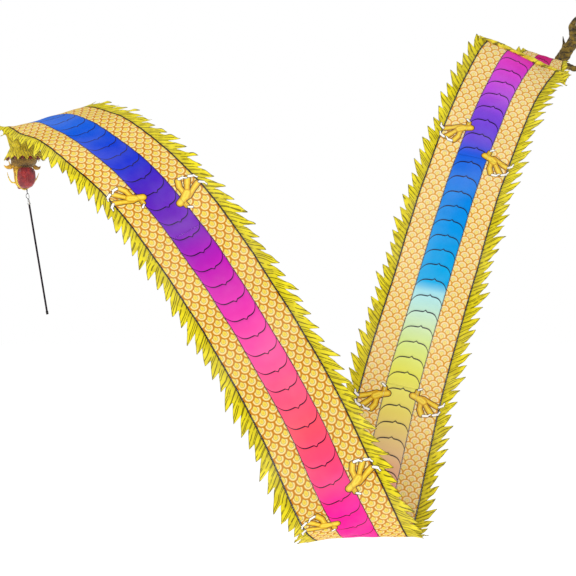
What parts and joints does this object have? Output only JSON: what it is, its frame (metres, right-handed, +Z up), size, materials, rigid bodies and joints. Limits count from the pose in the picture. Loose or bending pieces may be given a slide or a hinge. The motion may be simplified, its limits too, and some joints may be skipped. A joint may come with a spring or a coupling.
{
  "type": "dragon ribbon streamer",
  "caption": "Long printed cloth dragon ribbon with flame-edged fins, a stuffed dragon head at the front, a snap hook in its nose and a plain throwing rod.",
  "frame": {"origin": "middle of the ribbon's leading hem, where the neck is sewn on", "axes": "+Z up; +X from the head end towards the tail end; the belly face looks towards -Y"},
  "size_m": [3.592, 3.471, 3.1506],
  "materials": {
    "belly_cloth_1": "printed satin",
    "belly_cloth_2": "printed satin",
    "belly_cloth_3": "printed satin",
    "belly_cloth_4": "printed satin",
    "belly_cloth_5": "printed satin",
    "scale_cloth": "printed satin",
    "fin_cloth": "printed satin",
    "gold_cloth": "plush cloth",
    "maroon_cloth": "satin cloth",
    "red_satin": "glossy satin",
    "foam": "open foam and wadding",
    "brown_cloth": "plush cloth",
    "eye_plastic": "glossy",
    "pupil_plastic": "glossy",
    "webbing": "woven webbing",
    "steel": "bright plated steel",
    "barrel_metal": "satin",
    "rod_black": "glossy fibre tube",
    "cap_rubber": "matt"
  },
  "bodies": {
    "ribbon": {"belly_1": "belly_cloth_1", "scales_left_1": "scale_cloth", "fin_left_1": "fin_cloth", "scales_right_1": "scale_cloth", "fin_right_1": "fin_cloth", "belly_2": "belly_cloth_2", "scales_left_2": "scale_cloth", "fin_left_2": "fin_cloth", "scales_right_2": "scale_cloth", "fin_right_2": "fin_cloth", "belly_3": "belly_cloth_3", "scales_left_3": "scale_cloth", "fin_left_3": "fin_cloth", "scales_right_3": "scale_cloth", "fin_right_3": "fin_cloth", "belly_4": "belly_cloth_4", "scales_left_4": "scale_cloth", "fin_left_4": "fin_cloth", "scales_right_4": "scale_cloth", "fin_right_4": "fin_cloth", "belly_5": "belly_cloth_5", "scales_left_5": "scale_cloth", "fin_left_5": "fin_cloth", "scales_right_5": "scale_cloth", "fin_right_5": "fin_cloth", "neck_sleeve": "gold_cloth", "mane_ruff": "gold_cloth", "mane_lining": "maroon_cloth", "tail_knot": "brown_cloth", "tail_flame_tall": "brown_cloth", "tail_flame_low": "brown_cloth", "tail_flame_back": "brown_cloth"},
    "head": {"head_cover": "gold_cloth", "head_foam": "foam", "lower_jaw": "red_satin", "lip_piping": "fin_cloth", "chin_band": "brown_cloth", "nose_pad": "maroon_cloth", "nose_tab": "webbing", "eye_left": "eye_plastic", "pupil_left": "pupil_plastic", "brow_left": "brown_cloth", "ear_left": "gold_cloth", "horn_left": "gold_cloth", "whisker_left": "fin_cloth", "eye_right": "eye_plastic", "pupil_right": "pupil_plastic", "brow_right": "brown_cloth", "ear_right": "gold_cloth", "horn_right": "gold_cloth", "whisker_right": "fin_cloth"},
    "ring": {"tow_ring": "steel"},
    "hook": {"snap_hook": "steel"},
    "gate": {"hook_gate": "steel"},
    "rod": {"swivel_barrel": "barrel_metal", "rod_tube": "rod_black", "end_cap": "cap_rubber"}
  },
  "joints": [
    {"name": "neck_nod", "type": "hinge", "parent": "ribbon", "child": "head", "pos_m": [0, 0, -0.034], "axis": [0.866, 0.5, 0], "range_deg": [-6, 6]},
    {"name": "ring_swing", "type": "hinge", "parent": "head", "child": "ring", "pos_m": [0.014, 0, -0.268], "axis": [0, 1, 0], "range_deg": [-50, 60]},
    {"name": "hook_swing", "type": "hinge", "parent": "ring", "child": "hook", "pos_m": [0.01544, 0, -0.27668], "axis": [0.9866, 0, 0.1633], "range_deg": [-45, 45]},
    {"name": "gate_open", "type": "hinge", "parent": "hook", "child": "gate", "pos_m": [0.02611, 0, -0.30806], "axis": [0, 1, 0], "range_deg": [-26, 0], "stiffness_Nm_per_rad": 0.05, "springref_deg": 1.15},
    {"name": "rod_spin", "type": "hinge", "parent": "hook", "child": "rod", "pos_m": [0.02347, 0, -0.32522], "axis": [-0.1633, 0, 0.9866], "continuous": true}
  ]
}
